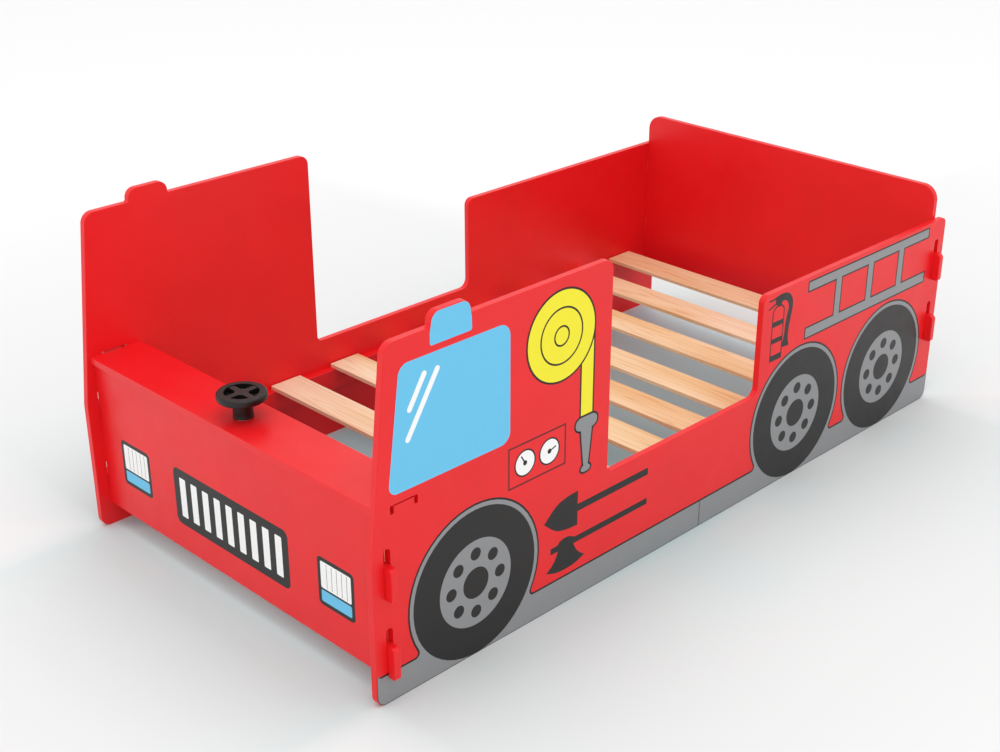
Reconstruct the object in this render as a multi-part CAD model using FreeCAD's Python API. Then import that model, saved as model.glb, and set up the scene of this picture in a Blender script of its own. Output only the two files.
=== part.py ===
import FreeCAD, Part
import math
import os

# A toddler bed in the shape of a fire engine. Five painted boards hook
# together, two rails carry ten pine slats, and a toy steering wheel turns on
# the bonnet. Millimetres, +Z up. The engine faces -Y, its left side is +X,
# and the origin is on the floor under the middle of the bed.

# Boards
board = 12.0
board_edge_radius = 1.0
bed_length = 1482.0
body_width = 746.0

# Side panel outline: heights from the floor, distances from the front edge
nose_height = 235.0
windscreen_lean = 36.5
cab_height = 568.5
cab_rear = 493.4
entry_height = 201.5
entry_rear = 890.5
rear_height = 390.0
beacon_front = 120.0
beacon_rear = 196.0
beacon_height = 590.0
foot_corner_radius = 18.0
nose_corner_radius = 60.0
roof_front_radius = 20.0
roof_rear_radius = 17.0
beacon_foot_radius = 3.0
beacon_top_radius = 17.0
entry_front_radius = 12.0
entry_rear_radius = 18.0
rear_front_radius = 15.0
rear_top_radius = 13.0

# Hooks that hold the front and rear panels between the side panels
hook_height = 55.0
hook_drop = 26.5
hook_lip = 16.0
hook_seat_gap = 0.3
hook_shoulder_radius = 8.0
hook_toe_radius = 5.0
hook_inner_radius = 1.6
hook_edge_radius = 1.5
slot_side_gap = 0.5
slot_end_gap = 1.0
slot_corner_radius = 6.0
front_slot_tops = (259.5, 127.5)
rear_slot_drops = (40.0, 170.5)

# Front panel, and the bonnet that lies on it
front_panel_face = 22.0
front_panel_bottom = 43.0
bonnet_top = 322.0
bonnet_overhang = 6.5
bonnet_depth = 99.5
bonnet_tab_width = 38.0
bonnet_tab_centre = 63.0
bonnet_slot_rise = 2.5
bonnet_slot_relief = 6.5
bonnet_slot_relief_radius = 3.2

# Rear panel
rear_panel_setback = 21.0
rear_panel_bottom = 100.0
rear_panel_top = 454.5
rear_panel_radius = 30.0
rear_panel_foot_radius = 6.0

# Rails and slats
slat_top = 149.0
slat_thickness = 8.0
slat_width = 68.0
slat_end_gap = 3.0
slat_edge_radius = 1.0
slat_pitch_share = 0.1155
slat_end_margin = 58.0
front_slat_count = 5
rear_slat_count = 4
rail_thickness = 15.0
rail_height = 40.0
rail_past_slat = 6.0
rail_edge_radius = 1.5

# Pegs that stop the slats sliding on the rails
peg_diameter = 6.0
peg_in_slat = 4.0
peg_in_rail = 12.0
peg_hole_spare = 0.5
peg_from_slat_end = 6.0
peg_chamfer = 0.6

# Countersunk screws that hold the rails to the side panels
rail_screw_count = 7
rail_screw_diameter = 4.0
rail_screw_head = 8.0
rail_screw_head_depth = 2.4
rail_screw_length = 24.0
rail_screw_tip = 3.0
rail_screw_margin = 60.0
rail_screw_hole_gap = 0.2
screw_recess_width = 1.2
screw_recess_span = 4.4
screw_recess_depth = 1.4

# Steering wheel
wheel_from_front = 64.0
wheel_radius = 39.8
wheel_thickness = 12.0
wheel_top = 365.5
wheel_rim_width = 12.1
wheel_rim_radius = 4.0
spoke_width = 10.5
spoke_recess = 1.0
window_depth = 9.0
wheel_hub_radius = 11.0
window_corner_radius = 1.6
post_radius = 15.8
post_foot_radius = 16.5
post_foot_height = 5.0
post_fillet_radius = 5.0
post_bore_depth = 17.0

# Bush, bolt, washer and threaded insert of the steering wheel
bush_barrel_diameter = 12.0
bush_flange_diameter = 28.0
bush_flange = 1.5
bearing_gap = 0.2
bolt_diameter = 6.0
bolt_running_gap = 0.05
bolt_head_diameter = 10.5
bolt_head_height = 3.3
bolt_head_edge = 1.2
bolt_socket_flat = 4.0
bolt_socket_depth = 2.0
bolt_grip = 13.0
washer_diameter = 18.0
washer_thickness = 1.5
insert_diameter = 9.0
insert_length = 15.0
insert_groove_depth = 0.5
insert_groove_width = 1.5

# What a cutter runs past a face that it cuts
overrun = 1.0

# Places worked out from the sizes above
half = 0.5
front_edge = -bed_length * half
outer_face = body_width * half
inner_face = outer_face - board
hook_neck = board + hook_seat_gap
neck_height = hook_height - hook_drop
slot_height = hook_height + slot_end_gap
slot_width = board + slot_side_gap + slot_side_gap
bonnet_underside = bonnet_top - board
slat_underside = slat_top - slat_thickness
slat_length = body_width - board - board - slat_end_gap - slat_end_gap
front_panel_back = front_panel_face + board
rear_panel_face = bed_length - rear_panel_setback - board
rear_slot_tops = [rear_height - drop for drop in rear_slot_drops]
post_underside = bonnet_top + bush_flange + bearing_gap
washer_top = bonnet_underside - bearing_gap


def from_front(distance):
    return front_edge + distance


def at(x, y, z):
    return FreeCAD.Vector(x, y, z)


def box(x_low, x_high, y_low, y_high, z_low, z_high):
    size = at(x_high - x_low, y_high - y_low, z_high - z_low)
    return Part.makeBox(size.x, size.y, size.z, at(x_low, y_low, z_low))


def rod(radius, start, end):
    along = end - start
    return Part.makeCylinder(radius, along.Length, start, along)


def turned(outline, centre):
    # Spins a half section of (radius, height) points round an upright axis
    points = [at(radius, 0, height) for radius, height in outline]
    face = Part.Face(Part.makePolygon(points + points[:1]))
    solid = face.revolve(at(0, 0, 0), at(0, 0, 1), 360)
    solid.translate(centre)
    return solid


def rounded_outline(corners):
    # Joins (point, radius) corners with straight lines and tangent arcs
    starts = []
    ends = []
    edges = []
    count = len(corners)
    for index, (point, radius) in enumerate(corners):
        back = corners[index - 1][0] - point
        ahead = corners[(index + 1) % count][0] - point
        back.normalize()
        ahead.normalize()
        half_angle = back.getAngle(ahead) * half
        if radius == 0:
            starts.append(point)
            ends.append(point)
            continue
        cut = radius / math.tan(half_angle)
        middle = back + ahead
        middle.normalize()
        centre = point + middle * (radius / math.sin(half_angle))
        starts.append(point + back * cut)
        ends.append(point + ahead * cut)
        edges.append(Part.Arc(starts[-1], centre - middle * radius, ends[-1]).toShape())
    for index in range(count):
        start = ends[index]
        end = starts[(index + 1) % count]
        if start.distanceToPoint(end) > 0:
            edges.append(Part.makeLine(start, end))
    return Part.Wire(Part.__sortEdges__(edges))


def edges_in_plane(shape, axis, places):
    found = []
    for edge in shape.Edges:
        box_of_edge = edge.BoundBox
        low = getattr(box_of_edge, axis + "Min")
        high = getattr(box_of_edge, axis + "Max")
        if any(max(abs(low - place), abs(high - place)) < bearing_gap for place in places):
            found.append(edge)
    return found


def mirrored(shape):
    return shape.mirror(at(0, 0, 0), at(1, 0, 0))


# Side panels

def side_outline():
    corners = [
        (0, 0, foot_corner_radius),
        (0, nose_height, nose_corner_radius),
        (windscreen_lean, cab_height, roof_front_radius),
        (beacon_front, cab_height, beacon_foot_radius),
        (beacon_front, beacon_height, beacon_top_radius),
        (beacon_rear, beacon_height, beacon_top_radius),
        (beacon_rear, cab_height, beacon_foot_radius),
        (cab_rear, cab_height, roof_rear_radius),
        (cab_rear, entry_height, entry_front_radius),
        (entry_rear, entry_height, entry_rear_radius),
        (entry_rear, rear_height, rear_front_radius),
        (bed_length, rear_height, rear_top_radius),
        (bed_length, 0, foot_corner_radius),
    ]
    return [(at(inner_face, from_front(y), z), radius) for y, z, radius in corners]


def hook_slot(panel_face, slot_top):
    start = from_front(panel_face) - slot_side_gap
    corners = [
        (start, slot_top - slot_height, 0),
        (start + slot_width, slot_top - slot_height, 0),
        (start + slot_width, slot_top, slot_corner_radius),
        (start, slot_top, slot_corner_radius),
    ]
    outline = [(at(inner_face - overrun, y, z), radius) for y, z, radius in corners]
    return Part.Face(rounded_outline(outline)).extrude(at(board + overrun + overrun, 0, 0))


def bonnet_slot():
    # The cutter leaves a relief at each end, so the slot looks like a bone
    length = bonnet_tab_width + slot_side_gap + slot_side_gap
    start = from_front(bonnet_tab_centre) - length * half
    top = bonnet_top + bonnet_slot_rise
    slot = box(inner_face - overrun, outer_face + overrun, start, start + length,
               bonnet_underside, top)
    for low in (start - bonnet_slot_relief, start + length):
        corners = [(low, bonnet_underside), (low + bonnet_slot_relief, bonnet_underside),
                   (low + bonnet_slot_relief, top), (low, top)]
        outline = [(at(inner_face - overrun, y, z), bonnet_slot_relief_radius)
                   for y, z in corners]
        relief = Part.Face(rounded_outline(outline))
        slot = slot.fuse(relief.extrude(at(board + overrun + overrun, 0, 0)))
    return slot


def left_side_panel():
    panel = Part.Face(rounded_outline(side_outline())).extrude(at(board, 0, 0))
    rims = edges_in_plane(panel, "X", (inner_face, outer_face))
    panel = panel.makeFillet(board_edge_radius, rims)
    for slot_top in front_slot_tops:
        panel = panel.cut(hook_slot(front_panel_face, slot_top))
    # The rear panel stands against the front of its slots
    for slot_top in rear_slot_tops:
        panel = panel.cut(hook_slot(rear_panel_face + slot_side_gap, slot_top))
    panel = panel.cut(bonnet_slot())
    for place in rail_screw_places():
        start = at(inner_face - overrun, place.y, place.z)
        end = at(inner_face + rail_screw_length - rail_thickness, place.y, place.z)
        panel = panel.cut(rod(rail_screw_diameter * half, start, end))
    return panel


# Panels that hook into the side panels

def hook(panel_face, slot_top):
    seat = slot_top - slot_height
    front = from_front(panel_face)
    neck = box(inner_face - overrun, inner_face + hook_neck + overrun, front, front + board,
               seat, seat + neck_height)
    lip_inner = inner_face + hook_neck
    lip_outer = lip_inner + hook_lip
    toe = seat - hook_drop
    shoulder = seat + neck_height
    corners = [
        (at(lip_inner, front, toe), hook_inner_radius),
        (at(lip_outer, front, toe), hook_toe_radius),
        (at(lip_outer, front, shoulder), hook_shoulder_radius),
        (at(lip_inner, front, shoulder), hook_inner_radius),
    ]
    lip = Part.Face(rounded_outline(corners)).extrude(at(0, board, 0))
    lip = lip.makeFillet(hook_edge_radius, edges_in_plane(lip, "Y", (front, front + board)))
    return neck.fuse(lip)


def hooked(panel, panel_face, slot_tops):
    for slot_top in slot_tops:
        left_hook = hook(panel_face, slot_top)
        panel = panel.fuse(left_hook)
        panel = panel.fuse(mirrored(left_hook))
    return panel.removeSplitter()


def front_panel():
    front = from_front(front_panel_face)
    panel = box(-inner_face, inner_face, front, front + board, front_panel_bottom, bonnet_underside)
    long_edges = [edge for edge in edges_in_plane(panel, "Z", (front_panel_bottom,))
                  if edge.Length > board + overrun]
    panel = panel.makeFillet(board_edge_radius, long_edges)
    return hooked(panel, front_panel_face, front_slot_tops)


def rear_panel():
    front = from_front(rear_panel_face)
    corners = [
        (at(-inner_face, front, rear_panel_bottom), rear_panel_foot_radius),
        (at(inner_face, front, rear_panel_bottom), rear_panel_foot_radius),
        (at(inner_face, front, rear_panel_top), rear_panel_radius),
        (at(-inner_face, front, rear_panel_top), rear_panel_radius),
    ]
    panel = Part.Face(rounded_outline(corners)).extrude(at(0, board, 0))
    rims = edges_in_plane(panel, "Y", (front, front + board))
    panel = panel.makeFillet(board_edge_radius, rims)
    return hooked(panel, rear_panel_face, rear_slot_tops)


def bonnet_panel():
    front = from_front(front_panel_face - bonnet_overhang)
    panel = box(-inner_face, inner_face, front, front + bonnet_depth, bonnet_underside, bonnet_top)
    long_edges = [edge for edge in panel.Edges if edge.Length > bonnet_depth + overrun]
    panel = panel.makeFillet(board_edge_radius, long_edges)
    tab_start = from_front(bonnet_tab_centre) - bonnet_tab_width * half
    tabs = box(-outer_face, outer_face, tab_start, tab_start + bonnet_tab_width,
               bonnet_underside, bonnet_top)
    panel = panel.fuse(tabs).removeSplitter()
    axis = wheel_axis()
    hole = rod(bush_barrel_diameter * half, axis + at(0, 0, bonnet_underside - overrun),
               axis + at(0, 0, bonnet_top + overrun))
    return panel.cut(hole)


# Rails, slats and pegs

def rail_start():
    return from_front(front_panel_back) + slat_end_margin - rail_past_slat


def rail_end():
    return from_front(rear_panel_face) - slat_end_margin + rail_past_slat


def rail_screw_places():
    first = rail_start() + rail_screw_margin
    step = (rail_end() - rail_screw_margin - first) / (rail_screw_count - 1)
    height = slat_underside - rail_height * half
    return [at(inner_face - rail_thickness, first + step * index, height)
            for index in range(rail_screw_count)]


def slat_centres():
    # Five slats at an even pitch from the front, four from the rear, and one midway
    first = from_front(front_panel_back) + slat_end_margin + slat_width * half
    last = from_front(rear_panel_face) - slat_end_margin - slat_width * half
    slat_pitch = (last - first) * slat_pitch_share
    front_group = [first + slat_pitch * index for index in range(front_slat_count)]
    rear_group = [last - slat_pitch * index for index in range(rear_slat_count)]
    rear_group.reverse()
    middle = (front_group[-1] + rear_group[0]) * half
    return front_group + [middle] + rear_group


def peg_across():
    return slat_length * half - peg_from_slat_end


def left_rail():
    rail = box(inner_face - rail_thickness, inner_face, rail_start(), rail_end(),
               slat_underside - rail_height, slat_underside)
    visible = [edge for edge in edges_in_plane(rail, "X", (inner_face - rail_thickness,))
               if edge.Length > rail_height + overrun]
    rail = rail.makeFillet(rail_edge_radius, visible)
    peg_hole_floor = slat_underside - peg_in_rail - peg_hole_spare
    for centre in slat_centres():
        rail = rail.cut(rod(peg_diameter * half, at(peg_across(), centre, peg_hole_floor),
                            at(peg_across(), centre, slat_underside + overrun)))
    for place in rail_screw_places():
        rail = rail.cut(rail_screw_hole(place))
    return rail


def slat(centre):
    low = centre - slat_width * half
    piece = box(-slat_length * half, slat_length * half, low, low + slat_width,
                slat_underside, slat_top)
    long_edges = [edge for edge in piece.Edges if edge.Length > slat_width + overrun]
    piece = piece.makeFillet(slat_edge_radius, long_edges)
    for across in (-peg_across(), peg_across()):
        piece = piece.cut(rod(peg_diameter * half, at(across, centre, slat_underside - overrun),
                              at(across, centre, slat_underside + peg_in_slat + peg_hole_spare)))
    return piece


def peg(across, centre):
    foot = at(across, centre, slat_underside - peg_in_rail)
    head = at(across, centre, slat_underside + peg_in_slat)
    piece = rod(peg_diameter * half, foot, head)
    return piece.makeChamfer(peg_chamfer, edges_in_plane(piece, "Z", (foot.z, head.z)))


# Countersunk rail screws, drawn along +X with the head at the place given

def rail_screw_hole(place):
    radius = rail_screw_diameter * half + rail_screw_hole_gap
    shank = rod(radius, place - at(overrun, 0, 0), place + at(rail_thickness + overrun, 0, 0))
    head_radius = rail_screw_head * half
    seat = Part.makeCone(head_radius, rail_screw_diameter * half, rail_screw_head_depth,
                         place, at(1, 0, 0))
    return shank.fuse(seat)


def rail_screw(place):
    radius = rail_screw_diameter * half
    shank_end = place + at(rail_screw_length - rail_screw_tip, 0, 0)
    shank = rod(radius, place + at(rail_screw_head_depth, 0, 0), shank_end)
    tip = Part.makeCone(radius, 0, rail_screw_tip, shank_end, at(1, 0, 0))
    head = Part.makeCone(rail_screw_head * half, radius, rail_screw_head_depth,
                         place, at(1, 0, 0))
    screw = head.fuse(shank).fuse(tip)
    return screw.cut(cross_recess(place, at(1, 0, 0)))


def cross_recess(place, into):
    # Two crossed grooves in a screw head that faces against the direction into
    across = at(into.z, into.x, into.y)
    upright = into.cross(across)
    grooves = []
    for long_way, short_way in ((across, upright), (upright, across)):
        corner = place - long_way * (screw_recess_span * half)
        corner = corner - short_way * (screw_recess_width * half) - into * overrun
        base = Part.makePolygon([
            corner,
            corner + long_way * screw_recess_span,
            corner + long_way * screw_recess_span + short_way * screw_recess_width,
            corner + short_way * screw_recess_width,
            corner,
        ])
        grooves.append(Part.Face(base).extrude(into * (screw_recess_depth + overrun)))
    return grooves[0].fuse(grooves[1])


# Steering wheel

def wheel_axis():
    return at(0, from_front(wheel_from_front), 0)


def wheel_window():
    # One of the four pockets, between two spokes, the hub and the rim
    inner = wheel_hub_radius
    outer = wheel_radius - wheel_rim_width
    side = spoke_width * half
    inner_cut = math.sqrt(inner * inner - side * side)
    outer_cut = math.sqrt(outer * outer - side * side)
    diagonal = math.sqrt(half)
    edges = [
        Part.makeLine(at(inner_cut, side, 0), at(outer_cut, side, 0)),
        Part.Arc(at(outer_cut, side, 0), at(outer * diagonal, outer * diagonal, 0),
                 at(side, outer_cut, 0)).toShape(),
        Part.makeLine(at(side, outer_cut, 0), at(side, inner_cut, 0)),
        Part.Arc(at(side, inner_cut, 0), at(inner * diagonal, inner * diagonal, 0),
                 at(inner_cut, side, 0)).toShape(),
    ]
    face = Part.Face(Part.Wire(Part.__sortEdges__(edges)))
    depth = window_depth + overrun
    window = face.extrude(at(0, 0, depth))
    upright = [edge for edge in window.Edges if edge.BoundBox.ZLength > window_depth]
    window = window.makeFillet(window_corner_radius, upright)
    window.translate(wheel_axis() + at(0, 0, wheel_top - window_depth))
    return window


def steering_wheel():
    centre = wheel_axis()
    underside = wheel_top - wheel_thickness
    disc = turned([(0, underside), (wheel_radius, underside), (wheel_radius, wheel_top),
                   (0, wheel_top)], centre)
    disc = disc.makeFillet(wheel_rim_radius, edges_in_plane(disc, "Z", (underside, wheel_top)))
    post = turned([
        (0, post_underside),
        (post_foot_radius, post_underside),
        (post_foot_radius, post_underside + bush_flange),
        (post_radius, post_underside + post_foot_height),
        (post_radius, underside),
        (0, underside),
    ], centre)
    wheel = disc.fuse(post)
    joint = [edge for edge in edges_in_plane(wheel, "Z", (underside,))
             if abs(edge.Curve.Radius - post_radius) < bearing_gap]
    wheel = wheel.makeFillet(post_fillet_radius, joint)
    rim_inner = wheel_radius - wheel_rim_width
    wheel = wheel.cut(rod(rim_inner, centre + at(0, 0, wheel_top - spoke_recess),
                          centre + at(0, 0, wheel_top + overrun)))
    window = wheel_window()
    for turn in range(4):
        cutter = window.copy()
        cutter.rotate(centre, at(0, 0, 1), 90 * turn)
        wheel = wheel.cut(cutter)
    bore_end = centre + at(0, 0, post_underside + post_bore_depth)
    return wheel.cut(rod(insert_diameter * half, centre + at(0, 0, post_underside - overrun), bore_end))


def threaded_insert():
    centre = wheel_axis()
    radius = insert_diameter * half
    top = post_underside + insert_length
    body = rod(radius, centre + at(0, 0, post_underside), centre + at(0, 0, top))
    groove_top = post_underside + insert_length * half + insert_groove_width * half
    groove = rod(radius + overrun, centre + at(0, 0, groove_top - insert_groove_width),
                 centre + at(0, 0, groove_top))
    core = rod(radius - insert_groove_depth, centre + at(0, 0, post_underside), centre + at(0, 0, top))
    body = body.cut(groove.cut(core))
    return body.cut(rod(bolt_diameter * half, centre + at(0, 0, post_underside - overrun),
                        centre + at(0, 0, top + overrun)))


def steering_bush():
    centre = wheel_axis()
    barrel = rod(bush_barrel_diameter * half, centre + at(0, 0, bonnet_underside),
                 centre + at(0, 0, bonnet_top))
    flange = rod(bush_flange_diameter * half, centre + at(0, 0, bonnet_top),
                 centre + at(0, 0, bonnet_top + bush_flange))
    bore = rod(bolt_diameter * half + bolt_running_gap,
               centre + at(0, 0, bonnet_underside - overrun),
               centre + at(0, 0, bonnet_top + bush_flange + overrun))
    return barrel.fuse(flange).cut(bore)


def steering_washer():
    centre = wheel_axis()
    low = centre + at(0, 0, washer_top - washer_thickness)
    disc = rod(washer_diameter * half, low, centre + at(0, 0, washer_top))
    bore = rod(bolt_diameter * half, low - at(0, 0, overrun), centre + at(0, 0, washer_top + overrun))
    return disc.cut(bore)


def steering_bolt():
    centre = wheel_axis()
    seat = washer_top - washer_thickness
    end = post_underside + bolt_grip
    shank = rod(bolt_diameter * half, centre + at(0, 0, seat), centre + at(0, 0, end))
    head = rod(bolt_head_diameter * half, centre + at(0, 0, seat - bolt_head_height),
               centre + at(0, 0, seat))
    head = head.makeChamfer(bolt_head_edge, edges_in_plane(head, "Z", (seat - bolt_head_height,)))
    corner_radius = bolt_socket_flat / math.sqrt(3)
    floor = seat - bolt_head_height + bolt_socket_depth
    corners = [at(corner_radius * math.cos(math.radians(60 * turn)),
                  corner_radius * math.sin(math.radians(60 * turn)), floor) + centre
               for turn in range(6)]
    socket = Part.Face(Part.makePolygon(corners + corners[:1]))
    socket = socket.extrude(at(0, 0, -bolt_socket_depth - overrun))
    return shank.fuse(head).cut(socket)


# Write one file for each sub-part

def save(name, shape):
    shape.exportStep("parts/" + name + ".step")


os.makedirs("parts", exist_ok=True)

left_side = left_side_panel()
save("side_panel_left", left_side)
save("side_panel_right", mirrored(left_side))
save("front_panel", front_panel())
save("bonnet_panel", bonnet_panel())
save("rear_panel", rear_panel())

left_slat_rail = left_rail()
save("slat_rail_left", left_slat_rail)
save("slat_rail_right", mirrored(left_slat_rail))
left_screws = Part.makeCompound([rail_screw(place) for place in rail_screw_places()])
save("rail_screws_left", left_screws)
save("rail_screws_right", mirrored(left_screws))

for number, centre in enumerate(slat_centres(), 1):
    save("slat_%02d" % number, slat(centre))
save("slat_pegs", Part.makeCompound([peg(across, centre) for centre in slat_centres()
                                     for across in (-peg_across(), peg_across())]))

save("steering_wheel", steering_wheel())
save("steering_insert", threaded_insert())
save("steering_bush", steering_bush())
save("steering_washer", steering_washer())
save("steering_bolt", steering_bolt())
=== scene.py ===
"""A fire engine toddler bed: painted boards, printed pictures, pine slats and a steering wheel."""

import math

import bpy
from mathutils import Matrix, Vector


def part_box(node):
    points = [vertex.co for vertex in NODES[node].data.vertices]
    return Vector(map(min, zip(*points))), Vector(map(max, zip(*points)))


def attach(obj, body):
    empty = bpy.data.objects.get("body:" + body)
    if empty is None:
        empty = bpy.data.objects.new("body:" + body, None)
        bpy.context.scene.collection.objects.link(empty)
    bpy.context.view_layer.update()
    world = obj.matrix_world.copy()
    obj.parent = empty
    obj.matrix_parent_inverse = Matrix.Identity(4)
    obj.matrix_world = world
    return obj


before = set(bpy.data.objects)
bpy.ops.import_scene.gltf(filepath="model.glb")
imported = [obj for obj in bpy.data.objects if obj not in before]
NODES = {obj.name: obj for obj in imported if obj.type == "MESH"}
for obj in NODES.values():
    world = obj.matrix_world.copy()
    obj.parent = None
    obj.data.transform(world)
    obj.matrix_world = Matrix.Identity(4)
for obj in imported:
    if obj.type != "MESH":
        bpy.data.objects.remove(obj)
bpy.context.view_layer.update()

MM = 0.001
BODY = "bed"
PANEL_LOW, PANEL_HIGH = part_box("side_panel_left")
SIDE_FACE = PANEL_HIGH.x
FRONT_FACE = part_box("front_panel")[0].y


# Node helpers. Most of a noise lies between its low and its high value.

NOISE_LOW = 0.3
NOISE_HIGH = 0.7


def linear(colour):
    """An sRGB colour, 0 to 255, in linear light."""
    shares = [part / 255 for part in colour]
    return tuple(s / 12.92 if s <= 0.04045 else ((s + 0.055) / 1.055) ** 2.4 for s in shares)


def linear_stops(stops):
    return [(position, linear(colour)) for position, colour in stops]


class Finish:
    """A material with one Principled shader and short calls for the nodes before it."""

    def __init__(self, name, **values):
        self.material = bpy.data.materials.new(name)
        self.material.use_nodes = True
        self.tree = self.material.node_tree
        self.tree.nodes.clear()
        output = self.node("ShaderNodeOutputMaterial")
        self.shader = self.node("ShaderNodeBsdfPrincipled", **values)
        self.link(self.shader.outputs["BSDF"], output.inputs["Surface"])
        self.place = self.node("ShaderNodeTexCoord").outputs["Object"]

    def node(self, kind, **values):
        """A new node. The values go to its sockets, with _ for each space in a socket's name."""
        node = self.tree.nodes.new(kind)
        for key, value in values.items():
            node.inputs[key.replace("_", " ")].default_value = value
        return node

    def link(self, start, end):
        self.tree.links.new(start, end)

    def feed(self, socket, value):
        """value is a socket, a number or a colour."""
        if isinstance(value, (int, float)):
            socket.default_value = value
        elif isinstance(value, tuple):
            socket.default_value = (*value, 1)
        else:
            self.link(value, socket)

    def stretched(self, scale, offset=(0, 0, 0), vector=None):
        node = self.node("ShaderNodeMapping", Scale=scale, Location=offset)
        self.link(vector or self.place, node.inputs["Vector"])
        return node.outputs["Vector"]

    def noise(self, scale, detail=3.0, roughness=0.5, distortion=0.0, vector=None):
        node = self.node("ShaderNodeTexNoise", Scale=scale, Detail=detail, Roughness=roughness,
                         Distortion=distortion)
        self.link(vector or self.place, node.inputs["Vector"])
        return node.outputs["Fac"]

    def ramp(self, factor, stops):
        """stops is a list of (position, colour), with colours in linear light."""
        node = self.node("ShaderNodeValToRGB")
        elements = node.color_ramp.elements
        while len(elements) < len(stops):
            elements.new(0.5)
        for element, (position, colour) in zip(elements, stops):
            element.position = position
            element.color = (*colour, 1)
        self.link(factor, node.inputs["Fac"])
        return node.outputs["Color"]

    def drift(self, colour, factor, tones):
        """The colour times the first tone where a noise is low, and times the second where high."""
        low, high = (tuple(part * tone for part in linear(colour)) for tone in tones)
        return self.ramp(factor, [(NOISE_LOW, low), (NOISE_HIGH, high)])

    def spread(self, factor, low, high, from_low=NOISE_LOW, from_high=NOISE_HIGH):
        """The factor's range from from_low to from_high, spread over low to high."""
        node = self.node("ShaderNodeMapRange", From_Min=from_low, From_Max=from_high, To_Min=low,
                         To_Max=high)
        self.link(factor, node.inputs["Value"])
        return node.outputs["Result"]

    def mix(self, factor, first, second, blend="MIX"):
        """first and second are sockets or colours."""
        node = self.node("ShaderNodeMix")
        node.data_type = "RGBA"
        node.blend_type = blend
        named = {socket.identifier: socket for socket in node.inputs}
        for name, value in (("Factor_Float", factor), ("A_Color", first), ("B_Color", second)):
            self.feed(named[name], value)
        return {socket.identifier: socket for socket in node.outputs}["Result_Color"]

    def calculate(self, operation, first, second=0.0):
        node = self.node("ShaderNodeMath")
        node.operation = operation
        for socket, value in zip(node.inputs, (first, second)):
            self.feed(socket, value)
        return node.outputs["Value"]

    def axis(self, vector, name):
        node = self.node("ShaderNodeSeparateXYZ")
        self.link(vector, node.inputs["Vector"])
        return node.outputs[name]

    def bump(self, height, distance):
        node = self.node("ShaderNodeBump", Distance=distance, Strength=1.0)
        self.link(height, node.inputs["Height"])
        self.link(node.outputs["Normal"], self.shader.inputs["Normal"])

    def colour(self, source):
        self.link(source, self.shader.inputs["Base Color"])

    def rough(self, source):
        self.link(source, self.shader.inputs["Roughness"])


# Finishes. Noise scales are in features per metre, and grain heights in metres.

# Sprayed paint on smooth board: a fine orange peel, and a slight cloud in tone and gloss
PAINT = {
    "specular": 0.36,
    "cloud": {"scale": 9.0, "detail": 4.0},
    "tones": (0.96, 1.03),
    "gloss": {"scale": 26.0, "detail": 5.0},
    "roughness": (0.31, 0.43),
    "grain": {"scale": 620.0, "detail": 2.0},
    "grain_height": 0.00006,
}

# Ink under a clear lacquer, with the faint mottle of a large print
INK = {
    "specular": 0.36,
    "cloud": {"scale": 85.0, "detail": 6.0, "roughness": 0.65},
    "tones": (0.985, 1.01),
    "gloss": {"scale": 30.0, "detail": 5.0},
    "roughness": (0.29, 0.40),
    "grain": {"scale": 620.0, "detail": 2.0},
    "grain_height": 0.00005,
}

# Moulded plastic with a fine texture and a slight sheen
PLASTIC = {
    "specular": 0.4,
    "cloud": {"scale": 60.0, "detail": 4.0},
    "tones": (0.85, 1.15),
    "gloss": {"scale": 150.0, "detail": 4.0},
    "roughness": (0.36, 0.50),
    "grain": {"scale": 1500.0, "detail": 3.0},
    "grain_height": 0.00005,
}

METAL_STRETCH = (200.0, 1400.0, 200.0)
METAL_TONES = (0.86, 1.05)
METAL_GRAIN = 0.00003
ZINC_ROUGHNESS = (0.22, 0.42)
BRASS_ROUGHNESS = (0.18, 0.38)

PINE_SPECULAR = 0.35
PINE_ROUGHNESS = (0.48, 0.62)
PINE_GRAIN = 0.00012
SEED_STEPS = (3.7, 1.31, 0.47)
RING_STRETCH = (1.6, 34.0, 34.0)
RING_WAVES = 60.0
RING_SHARPNESS = 2.2
RING_HEIGHT = 0.6
RING_STOPS = ((0.0, (246, 215, 173)), (0.55, (241, 204, 158)), (1.0, (226, 177, 124)))
FIBRE_STRETCH = (9.0, 420.0, 420.0)
FIBRE_COLOUR = (208, 157, 110)
FIBRE_SHARE = 0.16
PATCH_STRETCH = (2.4, 14.0, 14.0)
PATCH_STOPS = ((0.34, (232, 178, 112)), (0.62, (253, 226, 194)))
PATCH_SHARE = 0.42


def coated(name, colour, coat):
    finish = Finish(name, Specular_IOR_Level=coat["specular"])
    finish.colour(finish.drift(colour, finish.noise(**coat["cloud"]), coat["tones"]))
    finish.rough(finish.spread(finish.noise(**coat["gloss"]), *coat["roughness"]))
    finish.bump(finish.noise(**coat["grain"]), coat["grain_height"])
    return finish.material


def plated_metal(name, colour, roughness):
    finish = Finish(name, Metallic=1.0)
    scratch = finish.noise(1.0, detail=4.0, vector=finish.stretched(METAL_STRETCH))
    finish.colour(finish.drift(colour, scratch, METAL_TONES))
    finish.rough(finish.spread(scratch, *roughness))
    finish.bump(scratch, METAL_GRAIN)
    return finish.material


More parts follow.
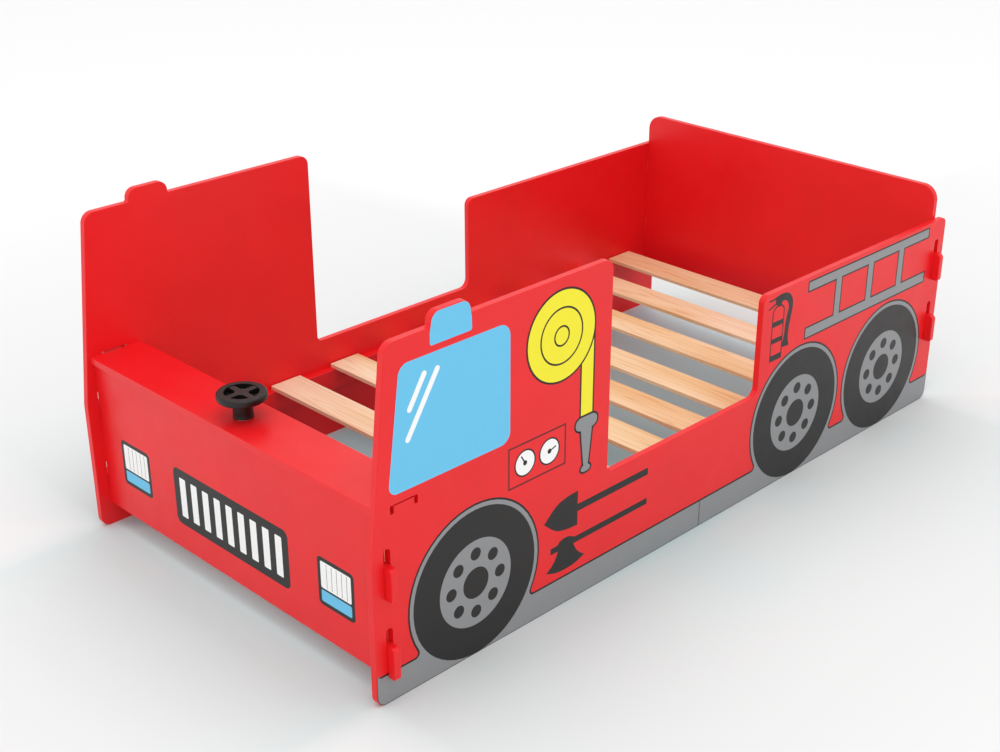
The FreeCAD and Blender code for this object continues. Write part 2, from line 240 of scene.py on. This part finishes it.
def wood(name, seed, tone):
    """Planed wood with its grain along X. The seed picks another stretch of the plank."""
    finish = Finish(name, Specular_IOR_Level=PINE_SPECULAR)
    place = finish.stretched((1.0, 1.0, 1.0), tuple(seed * step for step in SEED_STEPS))
    wander = finish.noise(1.0, detail=2.0, roughness=0.4, distortion=0.35,
                          vector=finish.stretched(RING_STRETCH, vector=place))
    waves = finish.calculate("SINE", finish.calculate("MULTIPLY", wander, RING_WAVES))
    rings = finish.calculate("POWER", finish.spread(waves, 0.0, 1.0, -1.0, 1.0), RING_SHARPNESS)
    fibres = finish.noise(1.0, detail=3.0, vector=finish.stretched(FIBRE_STRETCH, vector=place))
    patches = finish.noise(1.0, detail=1.0, vector=finish.stretched(PATCH_STRETCH, vector=place))
    board = finish.ramp(rings, linear_stops(RING_STOPS))
    board = finish.mix(finish.spread(fibres, 0.0, FIBRE_SHARE), board, linear(FIBRE_COLOUR))
    board = finish.mix(PATCH_SHARE, board, finish.ramp(patches, linear_stops(PATCH_STOPS)))
    finish.colour(finish.mix(1.0, board, tone, "MULTIPLY"))
    finish.rough(finish.spread(fibres, *PINE_ROUGHNESS))
    relief = finish.calculate("ADD", fibres, finish.calculate("MULTIPLY", rings, RING_HEIGHT))
    finish.bump(relief, PINE_GRAIN)
    return finish.material


# Tones of the slats, front to rear: pale planks, plain ones and a warm one
PALE = (1.015, 1.08, 1.19)
PLAIN = (0.98, 0.985, 0.95)
WARM = (0.95, 0.88, 0.80)
PLANKS = (PALE, PALE, PALE, PALE, PLAIN, WARM, PLAIN, PLAIN, PALE, PLAIN)
PLANK_SEED = 1.9
BEECH_SEED = 31.0

RED = coated("red_paint", (235, 25, 31), PAINT)
LINE_BLACK = coated("line_ink", (32, 8, 8), INK)
DEEP_RED = coated("deep_red_ink", (104, 10, 14), INK)
CHARCOAL = coated("charcoal_ink", (28, 26, 25), INK)
GREY = coated("grey_ink", (141, 142, 144), INK)
SEAM_GREY = coated("seam_ink", (96, 96, 99), INK)
SKY = coated("light_blue_ink", (104, 196, 236), INK)
YELLOW = coated("yellow_ink", (246, 234, 36), INK)
WHITE = coated("white_ink", (250, 250, 249), INK)
BLACK_PLASTIC = coated("black_plastic", (20, 18, 17), PLASTIC)
NYLON = coated("white_nylon", (226, 224, 214), PLASTIC)
ZINC = plated_metal("zinc_plate", (205, 207, 205), ZINC_ROUGHNESS)
BRASS = plated_metal("brass", (214, 178, 98), BRASS_ROUGHNESS)
BEECH = wood("beech_pegs", BEECH_SEED, WARM)


def paint(node, material):
    for slot in NODES[node].material_slots:
        slot.material = material


# The screw heads are painted over with the rails.
for node in ("side_panel_left", "side_panel_right", "front_panel", "bonnet_panel", "rear_panel",
             "slat_rail_left", "slat_rail_right", "rail_screws_left", "rail_screws_right"):
    paint(node, RED)
for number, tone in enumerate(PLANKS, 1):
    paint(f"slat_{number:02d}", wood(f"pine_{number:02d}", number * PLANK_SEED, tone))
for node in ("steering_washer", "steering_bolt"):
    paint(node, ZINC)
paint("slat_pegs", BEECH)
paint("steering_wheel", BLACK_PLASTIC)
paint("steering_bush", NYLON)
paint("steering_insert", BRASS)


# Flat drawing. Shapes are lists of closed loops of (across, up) points in
# millimetres, and a loop inside another cuts a hole.

ARC_STEP = math.radians(7)
QUARTER = math.pi / 2
CURVE_STEPS = 8
SAME_POINT = 1e-6
MITRE_LIMIT = 0.5


def arc(centre, radius, start, end):
    count = max(2, math.ceil(abs(end - start) / ARC_STEP))
    return [(centre[0] + radius * math.cos(start + (end - start) * n / count),
             centre[1] + radius * math.sin(start + (end - start) * n / count))
            for n in range(count + 1)]


def disc(centre, radius):
    return arc(centre, radius, 0, 4 * QUARTER)[:-1]


def rounded(corners):
    """A closed loop through (across, up, radius) corners."""
    loop = []
    for index, (x, y, radius) in enumerate(corners):
        point = Vector((x, y))
        if radius == 0:
            loop.append((x, y))
            continue
        back = (Vector(corners[index - 1][:2]) - point).normalized()
        ahead = (Vector(corners[(index + 1) % len(corners)][:2]) - point).normalized()
        half_angle = back.angle(ahead) / 2
        centre = point + (back + ahead).normalized() * (radius / math.sin(half_angle))
        first = point + back * (radius / math.tan(half_angle)) - centre
        last = point + ahead * (radius / math.tan(half_angle)) - centre
        start = math.atan2(first.y, first.x)
        turn = math.atan2(last.y, last.x) - start
        turn = (turn + math.pi) % (2 * math.pi) - math.pi
        loop += arc(centre, radius, start, start + turn)
    return loop


def box_loop(left, low, right, high, radius=0.0):
    return rounded([(left, low, radius), (right, low, radius), (right, high, radius),
                    (left, high, radius)])


def stroke(start, end, width):
    """A straight stroke with round ends."""
    angle = math.atan2(end[1] - start[1], end[0] - start[0])
    return (arc(end, width / 2, angle - QUARTER, angle + QUARTER)
            + arc(start, width / 2, angle + QUARTER, angle + 3 * QUARTER))


def curve_through(points):
    """Points along a smooth open curve through the given ones."""
    path = []
    ends = [points[0], *points, points[-1]]
    for a, b, c, d in zip(ends, ends[1:], ends[2:], ends[3:]):
        for n in range(CURVE_STEPS):
            t = n / CURVE_STEPS
            path.append(tuple(0.5 * (2 * q + (r - p) * t + (2 * p - 5 * q + 4 * r - s) * t * t
                                     + (3 * q - p - 3 * r + s) * t ** 3)
                              for p, q, r, s in zip(a, b, c, d)))
    return path + [points[-1]]


def grown(loop, margin):
    """The loop moved outwards by a margin, for the dark line round a shape."""
    points = [Vector(p) for p in loop]
    area = sum(p.x * q.y - q.x * p.y for p, q in zip(points, points[1:] + points[:1]))
    sign = 1 if area > 0 else -1
    result = []
    for index, point in enumerate(points):
        before = (point - points[index - 1]).normalized()
        after = (points[(index + 1) % len(points)] - point).normalized()
        out = Vector((before.y + after.y, -before.x - after.x)) * sign
        length = out.length
        if length < SAME_POINT:
            continue
        reach = margin / max(length / 2, MITRE_LIMIT)
        result.append(tuple(point + out / length * reach))
    return result


# Prints on the boards. Each layer stands a hair above the one under it. The side
# panels' picture is drawn by distances from a line behind their front edge.

INK_LIFT = 0.06
ART_SETBACK = 2.0
ART_START = PANEL_LOW.y + ART_SETBACK * MM
LINE = 3.4


def print_on(name, loops, material, layer, side):
    """side is left or right for a side panel, or front for the front panel."""
    curve = bpy.data.curves.new(name, "CURVE")
    curve.dimensions = "2D"
    curve.fill_mode = "BOTH"
    for loop in loops:
        spline = curve.splines.new("POLY")
        spline.points.add(len(loop) - 1)
        for target, (across, up) in zip(spline.points, loop):
            target.co = (across * MM, up * MM, 0, 1)
        spline.use_cyclic_u = True
    curve.extrude = INK_LIFT * MM / 2
    source = bpy.data.objects.new(name, curve)
    bpy.context.scene.collection.objects.link(source)
    bpy.context.view_layer.update()
    mesh = bpy.data.meshes.new_from_object(source)
    bpy.data.objects.remove(source)
    mesh.name = name
    rise = INK_LIFT * (layer + 0.5) * MM
    if side == "front":
        place = Matrix(((1, 0, 0, 0), (0, 0, -1, FRONT_FACE - rise), (0, 1, 0, 0), (0, 0, 0, 1)))
    else:
        sign = 1 if side == "left" else -1
        place = Matrix(((0, 0, sign, sign * (SIDE_FACE + rise)), (sign, 0, 0, ART_START),
                        (0, 1, 0, 0), (0, 0, 0, 1)))
        if sign < 0:
            mesh.transform(Matrix.Scale(-1, 4, (1, 0, 0)))
            mesh.flip_normals()
    mesh.transform(place)
    mesh.materials.clear()
    mesh.materials.append(material)
    piece = bpy.data.objects.new(name, mesh)
    bpy.context.scene.collection.objects.link(piece)
    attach(piece, BODY)


def outlined(name, loop, material, layer, side, line=LINE):
    print_on(f"{name}_line_{side}", [grown(loop, line)], LINE_BLACK, layer, side)
    print_on(f"{name}_{side}", [loop], material, layer + 1, side)


# Skirt and wheels

WHEEL_CENTRES = ((198.0, 127.0), (1011.7, 127.0), (1296.7, 127.0))
TYRE_RADIUS = 126.1
HUB_RADIUS = 74.0
HUB_HOLE_RADIUS = 26.3
NUT_CIRCLE = 50.5
NUT_RADIUS = 10.6
NUT_COUNT = 8
ARCH_RADIUS = 133.3
ARCH_CORNER = 9.0
SKIRT_TOP = 49.6
SKIRT_BOTTOM = 0.3
SKIRT_START = -1.0
SKIRT_END = 1479.0
SKIRT_FOOT_CORNER = 17.0
SKIRT_END_CORNER = 10.0
SKIRT_RIM = 0.9
SEAM_PLACE = 740.0
SEAM_WIDTH = 2.8


def skirt_loop(margin, rim=0.0):
    """The skirt with an arch over each wheel, its top grown by a margin and the rest set back."""
    top = SKIRT_TOP + margin
    radius = ARCH_RADIUS + margin
    corner = ARCH_CORNER - margin
    lift = SKIRT_END_CORNER - margin
    foot = SKIRT_FOOT_CORNER - rim
    start, end, low = SKIRT_START + rim, SKIRT_END - rim, SKIRT_BOTTOM + rim
    loop = arc((start + foot, low + foot), foot, 3 * QUARTER, 2 * QUARTER)
    loop += arc((start + lift, top + lift), lift, 2 * QUARTER, 3 * QUARTER)
    for x, z in WHEEL_CENTRES:
        drop = z - top - corner
        reach = math.sqrt((radius + corner) ** 2 - drop ** 2)
        dip = math.atan2(drop, reach)
        loop += arc((x - reach, top + corner), corner, -QUARTER, dip)
        loop += arc((x, z), radius, 2 * QUARTER + dip, -dip)
        loop += arc((x + reach, top + corner), corner, 2 * QUARTER - dip, 3 * QUARTER)
    loop += arc((end - lift, top + lift), lift, -QUARTER, 0.0)
    return loop + arc((end - foot, low + foot), foot, 0.0, -QUARTER)


def draw_skirt(side):
    print_on(f"skirt_line_{side}", [skirt_loop(LINE)], LINE_BLACK, 0, side)
    print_on(f"skirt_{side}", [skirt_loop(0.0, SKIRT_RIM)], GREY, 1, side)
    seam = box_loop(SEAM_PLACE - SEAM_WIDTH / 2, SKIRT_BOTTOM, SEAM_PLACE + SEAM_WIDTH / 2,
                    SKIRT_TOP)
    print_on(f"skirt_seam_{side}", [seam], SEAM_GREY, 2, side)


def draw_wheels(side):
    for number, centre in enumerate(WHEEL_CENTRES, 1):
        nuts = [disc((centre[0] + NUT_CIRCLE * math.cos(2 * math.pi * n / NUT_COUNT),
                      centre[1] + NUT_CIRCLE * math.sin(2 * math.pi * n / NUT_COUNT)), NUT_RADIUS)
                for n in range(NUT_COUNT)]
        hub = [disc(centre, HUB_RADIUS), disc(centre, HUB_HOLE_RADIUS), *nuts]
        print_on(f"tyre_{number}_{side}", [disc(centre, TYRE_RADIUS)], CHARCOAL, 2, side)
        print_on(f"hub_{number}_{side}", hub, GREY, 3, side)


# Window and beacon, by corners with their radii

PANE_CORNERS = ((32.3, 338.4, 15.0), (270.6, 338.4, 19.0), (270.8, 531.2, 21.0),
                (59.1, 531.2, 19.0))
SHINES = (((76.0, 459.5), (104.0, 504.5)), ((71.5, 415.0), (128.5, 504.5)))
SHINE_WIDTH = 9.2
BEACON_CORNERS = ((116.0, 541.5, 4.0), (195.5, 541.5, 4.0), (194.9, 562.0, 0), (193.0, 572.0, 0),
                  (193.0, 589.0, 16.0), (119.2, 589.0, 16.0), (119.0, 574.0, 0), (116.2, 560.0, 0))


def draw_window(side):
    print_on(f"window_{side}", [rounded(PANE_CORNERS)], SKY, 0, side)
    for number, (start, end) in enumerate(SHINES, 1):
        shine = stroke(start, end, SHINE_WIDTH)
        print_on(f"window_shine_{number}_{side}", [shine], WHITE, 1, side)
    print_on(f"beacon_pane_{side}", [rounded(BEACON_CORNERS)], SKY, 0, side)


# Hose reel with its nozzle. The nozzle's parts are left halves.

HOSE_BOX = (424.9, 322.0, 450.9, 475.0)
REEL_CENTRE = (379.0, 475.5)
REEL_RADIUS = 72.5
REEL_TURNS = (45.0, 15.5)
REEL_TURN_HALF_WIDTH = 1.5
NOZZLE_CENTRE = 438.2
NOZZLE_COLLAR = ((424.6, 322.8), (416.4, 319.0), (413.6, 311.0), (416.8, 304.0), (425.0, 300.0))
NOZZLE_CAP = ((433.4, 238.0), (427.6, 232.0), (429.4, 227.2), (435.0, 225.4))
NOZZLE_BARREL = [(425.0, 304.0), (433.2, 234.0)]


def mirrored(half):
    """A closed loop from its left half, mirrored about the nozzle's middle line."""
    return half + [(2 * NOZZLE_CENTRE - across, up) for across, up in reversed(half)]


def draw_hose(side):
    outlined("hose", box_loop(*HOSE_BOX), YELLOW, 0, side)
    outlined("reel", disc(REEL_CENTRE, REEL_RADIUS), YELLOW, 2, side)
    for number, radius in enumerate(REEL_TURNS, 1):
        ring = [disc(REEL_CENTRE, radius + REEL_TURN_HALF_WIDTH),
                disc(REEL_CENTRE, radius - REEL_TURN_HALF_WIDTH)]
        print_on(f"reel_turn_{number}_{side}", ring, LINE_BLACK, 4, side)
    collar = mirrored(curve_through(NOZZLE_COLLAR))
    cap = mirrored(curve_through(NOZZLE_CAP))
    barrel = mirrored(NOZZLE_BARREL)
    for part, loop, layer in (("collar", collar, 3), ("cap", cap, 3), ("barrel", barrel, 4)):
        print_on(f"nozzle_{part}_line_{side}", [grown(loop, LINE)], LINE_BLACK, 2, side)
        print_on(f"nozzle_{part}_{side}", [loop], GREY, layer, side)


# Gauges, each by its centre and its needle's tip

GAUGE_FRAME_OUTER = (266.4, 256.4, 392.0, 327.0)
GAUGE_FRAME_INNER = (269.4, 259.4, 389.0, 324.0)
GAUGES = (((302.4, 291.6), (294.4, 304.6)), ((355.4, 291.6), (369.0, 295.6)))
GAUGE_RADIUS = 20.0
GAUGE_LINE = 2.8
NEEDLE_WIDTH = 2.4
BOSS_RADIUS = 4.2


def draw_gauges(side):
    rims = [box_loop(*GAUGE_FRAME_OUTER), box_loop(*GAUGE_FRAME_INNER)]
    print_on(f"gauge_frame_{side}", rims, DEEP_RED, 0, side)
    for number, (centre, tip) in enumerate(GAUGES, 1):
        outlined(f"gauge_{number}", disc(centre, GAUGE_RADIUS), WHITE, 0, side, GAUGE_LINE)
        needle = stroke(centre, tip, NEEDLE_WIDTH)
        print_on(f"gauge_needle_{number}_{side}", [needle], LINE_BLACK, 2, side)
        print_on(f"gauge_boss_{number}_{side}", [disc(centre, BOSS_RADIUS)], LINE_BLACK, 3, side)


# Shovel and axe, point by point round each

SHOVEL_LOW_EDGE = ((345.2, 165.2), (372.0, 143.6), (396.0, 136.6), (422.4, 134.6))
SHOVEL_SHAFT = [(422.4, 159.2), (594.0, 159.2), (594.0, 172.2), (422.4, 172.2)]
SHOVEL_HIGH_EDGE = ((422.4, 196.6), (396.0, 194.6), (372.0, 187.0), (345.2, 165.2))
AXE_TOE = ((351.6, 72.8), (364.0, 81.6), (372.4, 91.6), (378.0, 103.4))
AXE_POLL = [(361.0, 103.4), (361.0, 114.8), (376.6, 114.8)]
AXE_EYE = ((376.6, 114.8), (383.6, 120.4), (395.0, 122.2), (405.0, 120.8), (417.0, 114.8))
AXE_SHAFT = [(594.0, 114.8), (594.0, 103.4)]
AXE_HEEL = ((414.0, 103.4), (420.0, 91.6), (428.4, 81.6), (440.4, 72.8))
AXE_BLADE = ((440.4, 72.8), (420.0, 65.6), (396.4, 63.4), (373.0, 65.6), (351.6, 72.8))


def draw_tools(side):
    shovel = (curve_through(SHOVEL_LOW_EDGE) + SHOVEL_SHAFT
              + curve_through(SHOVEL_HIGH_EDGE)[:-1])
    print_on(f"shovel_{side}", [shovel], CHARCOAL, 0, side)
    axe = (curve_through(AXE_TOE) + AXE_POLL + curve_through(AXE_EYE)[1:] + AXE_SHAFT
           + curve_through(AXE_HEEL) + curve_through(AXE_BLADE)[1:-1])
    print_on(f"axe_{side}", [axe], CHARCOAL, 0, side)


# Ladder

LADDER_ENDS = (1022.8, 1419.4)
LADDER_LOW_RAIL = (272.4, 290.8)
LADDER_HIGH_RAIL = (363.6, 380.0)
LADDER_STEPS = (1109.4, 1213.4, 1317.4)
LADDER_STEP_WIDTH = 16.8
LADDER_LINE = 2.9


def ladder_loops(margin):
    """The ladder in one outline, open at both ends, with its line grown by a margin."""
    left, right = LADDER_ENDS[0] - margin, LADDER_ENDS[1] + margin
    low, foot = LADDER_LOW_RAIL[0] - margin, LADDER_LOW_RAIL[1] + margin
    head, high = LADDER_HIGH_RAIL[0] - margin, LADDER_HIGH_RAIL[1] + margin
    starts = [step - margin for step in LADDER_STEPS]
    ends = [step + LADDER_STEP_WIDTH + margin for step in LADDER_STEPS]
    outline = [(left, low), (right, low), (right, foot), (ends[-1], foot), (ends[-1], head),
               (right, head), (right, high), (left, high), (left, head), (starts[0], head),
               (starts[0], foot), (left, foot)]
    holes = [box_loop(end, foot, start, head) for end, start in zip(ends, starts[1:])]
    return [outline, *holes]


def draw_ladder(side):
    print_on(f"ladder_line_{side}", ladder_loops(LADDER_LINE), LINE_BLACK, 0, side)
    print_on(f"ladder_{side}", ladder_loops(0.0), GREY, 1, side)


# Extinguisher: an outlined bottle with three bands, a hose and two levers

BOTTLE_OUTER = ((916.8, 257.4, 1.5), (952.0, 257.4, 1.5), (952.0, 362.4, 14.0),
                (916.8, 362.4, 14.0))
BOTTLE_INNER = ((919.6, 260.2, 0.5), (949.2, 260.2, 0.5), (949.2, 359.6, 11.4),
                (919.6, 359.6, 11.4))
BAND_LEFT = 918.0
BAND_RIGHT = 951.0
BAND_HEIGHTS = ((258.4, 268.8), (291.6, 301.0), (323.6, 333.2))
HOSE_OUTER_EDGE = ((922.4, 379.4), (934.0, 381.6), (948.0, 382.0), (961.0, 378.0), (971.0, 369.0),
                   (975.8, 356.0), (974.6, 340.0), (970.6, 322.0), (968.0, 304.0), (968.4, 290.0),
                   (972.4, 275.4))
HOSE_INNER_EDGE = ((952.4, 277.0), (948.6, 281.0), (953.4, 289.0), (956.4, 304.0), (957.0, 320.0),
                   (960.0, 335.0), (963.6, 348.0), (961.4, 359.0), (954.0, 366.0), (945.0, 367.6),
                   (941.0, 361.6))
HOSE_ROOT = [(933.0, 361.0), (924.0, 366.0)]
LEVERS = (((905.0, 376.8), (928.0, 377.4)), ((905.6, 361.4), (930.0, 369.0)))
LEVER_WIDTH = 3.2


def draw_extinguisher(side):
    bottle = [rounded(BOTTLE_OUTER), rounded(BOTTLE_INNER)]
    print_on(f"extinguisher_line_{side}", bottle, LINE_BLACK, 0, side)
    for number, (low, high) in enumerate(BAND_HEIGHTS, 1):
        band = box_loop(BAND_LEFT, low, BAND_RIGHT, high)
        print_on(f"extinguisher_band_{number}_{side}", [band], CHARCOAL, 1, side)
    hose = curve_through(HOSE_OUTER_EDGE) + curve_through(HOSE_INNER_EDGE) + HOSE_ROOT
    print_on(f"extinguisher_hose_{side}", [hose], CHARCOAL, 1, side)
    for number, (tip, root) in enumerate(LEVERS, 1):
        lever = stroke(tip, root, LEVER_WIDTH)
        print_on(f"extinguisher_lever_{number}_{side}", [lever], LINE_BLACK, 2, side)


for side in ("left", "right"):
    draw_skirt(side)
    draw_wheels(side)
    draw_window(side)
    draw_hose(side)
    draw_gauges(side)
    draw_tools(side)
    draw_ladder(side)
    draw_extinguisher(side)


# Front panel picture: a plain barred grille between two lamps, each with a fluted
# lens over a blue indicator. It is drawn about the middle of the panel.

GRILLE_HALF = 150.0
GRILLE_LOW = 92.0
GRILLE_HIGH = 196.0
GRILLE_CORNER = 12.0
GRILLE_BARS = 9
GRILLE_MARGIN = 16.0
GRILLE_BAR_SHARE = 0.52
GRILLE_BAR_CORNER = 2.0
LAMP_CENTRE = 262.0
LAMP_LOW = 104.0
LAMP_SIZE = 84.0
LAMP_CORNER = 8.0
LAMP_RIM = 7.0
LENS_CORNER = 3.0
INDICATOR_HEIGHT = 20.0
FLUTES = 5
FLUTE_PITCH = 11.6
FLUTE_WIDTH = 1.0
FLUTE_INSET = 2.0


def draw_grille():
    case = box_loop(-GRILLE_HALF, GRILLE_LOW, GRILLE_HALF, GRILLE_HIGH, GRILLE_CORNER)
    print_on("grille_case", [case], CHARCOAL, 0, "front")
    room = 2 * (GRILLE_HALF - GRILLE_MARGIN)
    pitch = room / (GRILLE_BARS - 1 + GRILLE_BAR_SHARE)
    for number in range(GRILLE_BARS):
        left = -GRILLE_HALF + GRILLE_MARGIN + pitch * number
        bar = box_loop(left, GRILLE_LOW + GRILLE_MARGIN, left + pitch * GRILLE_BAR_SHARE,
                       GRILLE_HIGH - GRILLE_MARGIN, GRILLE_BAR_CORNER)
        print_on(f"grille_bar_{number + 1}", [bar], WHITE, 1, "front")


def draw_lamp(name, centre):
    high = LAMP_LOW + LAMP_SIZE
    case_left, case_right = centre - LAMP_SIZE / 2, centre + LAMP_SIZE / 2
    left, right = case_left + LAMP_RIM, case_right - LAMP_RIM
    indicator_low = LAMP_LOW + LAMP_RIM
    indicator_high = indicator_low + INDICATOR_HEIGHT
    lens_low, lens_high = indicator_high + LAMP_RIM / 2, high - LAMP_RIM
    case = box_loop(case_left, LAMP_LOW, case_right, high, LAMP_CORNER)
    print_on(f"lamp_case_{name}", [case], CHARCOAL, 0, "front")
    lens = [box_loop(left, lens_low, right, lens_high, LENS_CORNER)]
    for number in range(1, FLUTES + 1):
        start = left + FLUTE_INSET + FLUTE_PITCH * number
        lens.append(box_loop(start, lens_low + FLUTE_INSET, start + FLUTE_WIDTH,
                             lens_high - FLUTE_INSET))
    print_on(f"lamp_lens_{name}", lens, WHITE, 1, "front")
    indicator = box_loop(left, indicator_low, right, indicator_high, LENS_CORNER)
    print_on(f"lamp_side_{name}", [indicator], SKY, 1, "front")


draw_grille()
draw_lamp("left", LAMP_CENTRE)
draw_lamp("right", -LAMP_CENTRE)


# Floor. Its tone follows the distance in metres past the bed's side or end. It holds a
# painted soft shadow under and round the bed, with green and blue raised near the bed as a
# painted offset of the red light that the boards bounce onto it.

FLOOR_SIZE = 14.0
FLOOR_ROUGHNESS = 0.75
FLOOR_SPECULAR = 0.1
FLOOR_REACH = 2.0
FLOOR_LEAD = 0.15
SHADE_HALF_WIDTH = 0.37
SHADE_HALF_LENGTH = 0.74
CORNER_RANGE = (-0.02, 0.98)
CORNER_PUSH = 4.0
# Painted shade: the floor's tones under the bed and by distance beside, ahead of and behind it,
# with green and blue raised near the bed to offset the red light bounced off the boards.
UNDER_SHADE = (0.495, 0.70, 0.76)
SHADE_BESIDE = (
    (-0.03, UNDER_SHADE), (0.0, (0.70, 0.715, 0.72)), (0.02, (0.715, 0.732, 0.735)),
    (0.04, (0.71, 0.75, 0.75)), (0.07, (0.71, 0.763, 0.763)), (0.12, (0.735, 0.788, 0.788)),
    (0.16, (0.75, 0.806, 0.806)), (0.23, (0.78, 0.827, 0.827)), (0.33, (0.805, 0.845, 0.845)),
    (0.5, (0.83, 0.85, 0.85)), (1.0, (0.87, 0.87, 0.87)), (1.8, (0.95, 0.95, 0.95)),
)
SHADE_AHEAD = (
    (-0.13, UNDER_SHADE), (-0.05, (0.66, 0.88, 0.91)), (-0.02, (0.70, 0.86, 0.875)),
    (0.0, (0.68, 0.835, 0.845)), (0.04, (0.657, 0.795, 0.795)), (0.08, (0.68, 0.80, 0.80)),
    (0.14, (0.72, 0.815, 0.815)), (0.21, (0.765, 0.84, 0.84)), (0.31, (0.81, 0.86, 0.86)),
    (0.5, (0.85, 0.865, 0.865)), (1.0, (0.88, 0.88, 0.88)), (1.8, (0.95, 0.95, 0.95)),
)
SHADE_BEHIND = (
    (-0.13, UNDER_SHADE), (-0.05, (0.60, 0.76, 0.80)), (0.0, (0.70, 0.86, 0.87)),
    (0.08, (0.79, 0.93, 0.925)), (0.2, (0.80, 0.90, 0.90)), (0.4, (0.83, 0.88, 0.88)),
    (1.0, (0.88, 0.88, 0.88)), (1.8, (0.95, 0.95, 0.95)),
)
END_BLEND = 0.02
REAR_BLEND = 0.1

# Beside the middle of the bed, where the red light bounced off the board is strongest, the
# floor's painted tone is made less red, as a painted offset of that light.
RED_BOUNCE_MIDDLE = 0.08
RED_BOUNCE_LENGTH = 0.36
RED_BOUNCE_RANGE = (0.08, 0.3)
RED_BOUNCE_SHARE = 0.15
RED_BOUNCE_OFFSET_TONE = (0.0, 1.0, 1.0)


def floor_shade(finish, distance, stops):
    """The floor's colour, with its painted shadow, by a distance past one edge of the bed."""
    share = finish.spread(distance, 0.0, 1.0, -FLOOR_LEAD, FLOOR_REACH)
    room = FLOOR_REACH + FLOOR_LEAD
    return finish.ramp(share, [((place + FLOOR_LEAD) / room, colour) for place, colour in stops])


def floor_finish():
    finish = Finish("floor", Roughness=FLOOR_ROUGHNESS, Specular_IOR_Level=FLOOR_SPECULAR)
    across, along = finish.axis(finish.place, "X"), finish.axis(finish.place, "Y")
    past_side = finish.calculate("SUBTRACT", finish.calculate("ABSOLUTE", across), SHADE_HALF_WIDTH)
    past_end = finish.calculate("SUBTRACT", finish.calculate("ABSOLUTE", along), SHADE_HALF_LENGTH)
    past_both = finish.calculate("MINIMUM", past_side, past_end)
    corner = finish.spread(past_both, 0.0, CORNER_PUSH, *CORNER_RANGE)
    from_side = finish.calculate("ADD", past_side, corner)
    from_end = finish.calculate("ADD", past_end, corner)
    beside = floor_shade(finish, from_side, SHADE_BESIDE)
    ahead = floor_shade(finish, from_end, SHADE_AHEAD)
    behind = floor_shade(finish, from_end, SHADE_BEHIND)
    # Painted offset of the red bounced light: strongest beside the middle of the bed, fading away
    # from the board.
    off_middle = finish.calculate("ABSOLUTE", finish.calculate("ADD", along, RED_BOUNCE_MIDDLE))
    midway = finish.spread(off_middle, RED_BOUNCE_SHARE, 0.0, 0.0, RED_BOUNCE_LENGTH)
    near = finish.spread(past_side, 1.0, 0.0, *RED_BOUNCE_RANGE)
    red_bounce_offset = finish.calculate("MULTIPLY", midway, near)
    beside = finish.mix(red_bounce_offset, beside, RED_BOUNCE_OFFSET_TONE, "MULTIPLY")
    further = finish.calculate("SUBTRACT", past_end, past_side)
    at_end = finish.spread(further, 0.0, 1.0, -END_BLEND, END_BLEND)
    at_rear = finish.spread(along, 0.0, 1.0, -REAR_BLEND, REAR_BLEND)
    finish.colour(finish.mix(at_end, beside, finish.mix(at_rear, ahead, behind)))
    return finish.material


def make_floor():
    mesh = bpy.data.meshes.new("floor")
    corners = [(x * FLOOR_SIZE, y * FLOOR_SIZE, 0) for x, y in ((-1, -1), (1, -1), (1, 1), (-1, 1))]
    mesh.from_pydata(corners, [], [(0, 1, 2, 3)])
    floor = bpy.data.objects.new("floor", mesh)
    bpy.context.scene.collection.objects.link(floor)
    mesh.materials.append(floor_finish())


# Lights

KEY_PLACE = (0.9, -0.7, 4.3)
KEY_TARGET = (0, 0, 0.2)
KEY_SIZE = 3.0
KEY_POWER = 33


def make_world():
    world = bpy.data.worlds.new("studio")
    world.use_nodes = True
    tree = world.node_tree
    tree.nodes.clear()
    output = tree.nodes.new("ShaderNodeOutputWorld")
    sky = tree.nodes.new("ShaderNodeBackground")
    sky.inputs["Color"].default_value = (1, 1, 1, 1)
    sky.inputs["Strength"].default_value = 1.0
    tree.links.new(sky.outputs["Background"], output.inputs["Surface"])
    bpy.context.scene.world = world


def make_key():
    lamp = bpy.data.lights.new("key", "AREA")
    lamp.shape = "DISK"
    lamp.size = KEY_SIZE
    lamp.energy = KEY_POWER
    holder = bpy.data.objects.new("key", lamp)
    holder.location = KEY_PLACE
    aim = Vector(KEY_TARGET) - Vector(KEY_PLACE)
    holder.rotation_euler = aim.to_track_quat("-Z", "Y").to_euler()
    bpy.context.scene.collection.objects.link(holder)


# Camera, fitted to the photograph. The pixel sizes are the photograph's.

PHOTO_WIDTH = 1000
PHOTO_CENTRE = (500.0, 376.0)
FOCAL_PIXELS = 1567.3
PRINCIPAL_POINT = (517.2, 391.4)
CAMERA_PLACE = (1.8186, -1.9231, 1.4050)
CAMERA_ANGLES = (64.3718, -0.1920, 44.6311)
SENSOR_WIDTH = 36.0
CLIP_END = 100.0


def make_camera():
    camera = bpy.data.cameras.new("camera")
    camera.sensor_fit = "HORIZONTAL"
    camera.sensor_width = SENSOR_WIDTH
    camera.lens = SENSOR_WIDTH * FOCAL_PIXELS / PHOTO_WIDTH
    camera.shift_x = (PHOTO_CENTRE[0] - PRINCIPAL_POINT[0]) / PHOTO_WIDTH
    camera.shift_y = (PRINCIPAL_POINT[1] - PHOTO_CENTRE[1]) / PHOTO_WIDTH
    camera.clip_end = CLIP_END
    holder = bpy.data.objects.new("camera", camera)
    holder.location = CAMERA_PLACE
    holder.rotation_euler = [math.radians(angle) for angle in CAMERA_ANGLES]
    bpy.context.scene.collection.objects.link(holder)
    bpy.context.scene.camera = holder


make_floor()
make_world()
make_key()
make_camera()
bpy.context.scene.view_settings.view_transform = "Standard"
